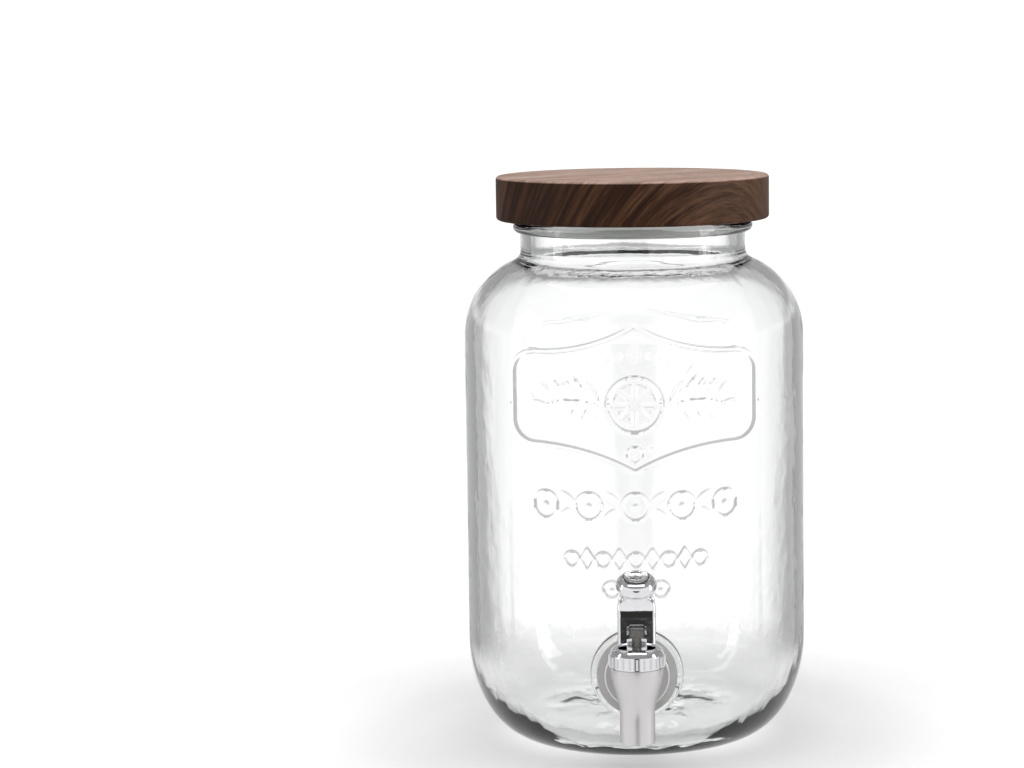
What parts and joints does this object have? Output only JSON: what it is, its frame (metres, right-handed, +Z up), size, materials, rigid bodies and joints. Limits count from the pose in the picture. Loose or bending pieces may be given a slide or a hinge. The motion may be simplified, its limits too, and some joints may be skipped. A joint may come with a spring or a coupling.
{
  "type": "glass drink dispenser",
  "caption": "Round glass drink jar with raised shield outlines, a turned wooden lid that lifts off and a chrome-plated lever tap near its base.",
  "frame": {"origin": "on the jar's axis, in the plane that the jar stands on", "axes": "+Z up along the jar's axis, -Y the way the tap points, +X to the right of someone facing the tap"},
  "size_m": [0.16, 0.1935, 0.2655],
  "materials": {
    "glass": "clear, faintly grey-green, slightly wavy pressed glass",
    "dark_wood": "oiled dark brown wood with streaky grain",
    "silicone": "translucent grey silicone",
    "plated": "bright chrome plating",
    "steel": "plain stainless steel",
    "white_plastic": "moulded white plastic",
    "smoke_plastic": "smoky grey moulded plastic"
  },
  "bodies": {
    "jar": {"glass_jar": "glass", "tap_body": "plated", "outer_washer": "silicone", "inner_washer": "silicone", "plate_washer": "steel", "shank_nut": "white_plastic", "bonnet_ring": "plated", "bonnet_seal": "silicone", "stem_guide": "smoke_plastic", "stem_seal": "silicone", "return_spring": "steel"},
    "lid": {"wooden_lid": "dark_wood", "lid_seal": "silicone"},
    "valve": {"valve_stem": "smoke_plastic", "seat_cup": "silicone"},
    "handle": {"lever": "plated", "pivot_pin": "steel"}
  },
  "joints": [
    {"name": "lid_lift", "type": "slide", "parent": "jar", "child": "lid", "axis": [0, 0, 1], "range_m": [0, 0.06]},
    {"name": "stem_lift", "type": "slide", "parent": "jar", "child": "valve", "axis": [0, 0, 1], "range_m": [0, 0.0026], "stiffness_N_per_m": 500, "springref_m": -0.008, "deforming": ["return_spring"]},
    {"name": "lever_tilt", "type": "hinge", "parent": "valve", "child": "handle", "pos_m": [0, -0.1, 0.0682], "axis": [1, 0, 0], "range_deg": [0, 45]}
  ],
  "couplings": [
    {"joint": "lever_tilt", "follows": "stem_lift", "rad_per_m": 302}
  ]
}
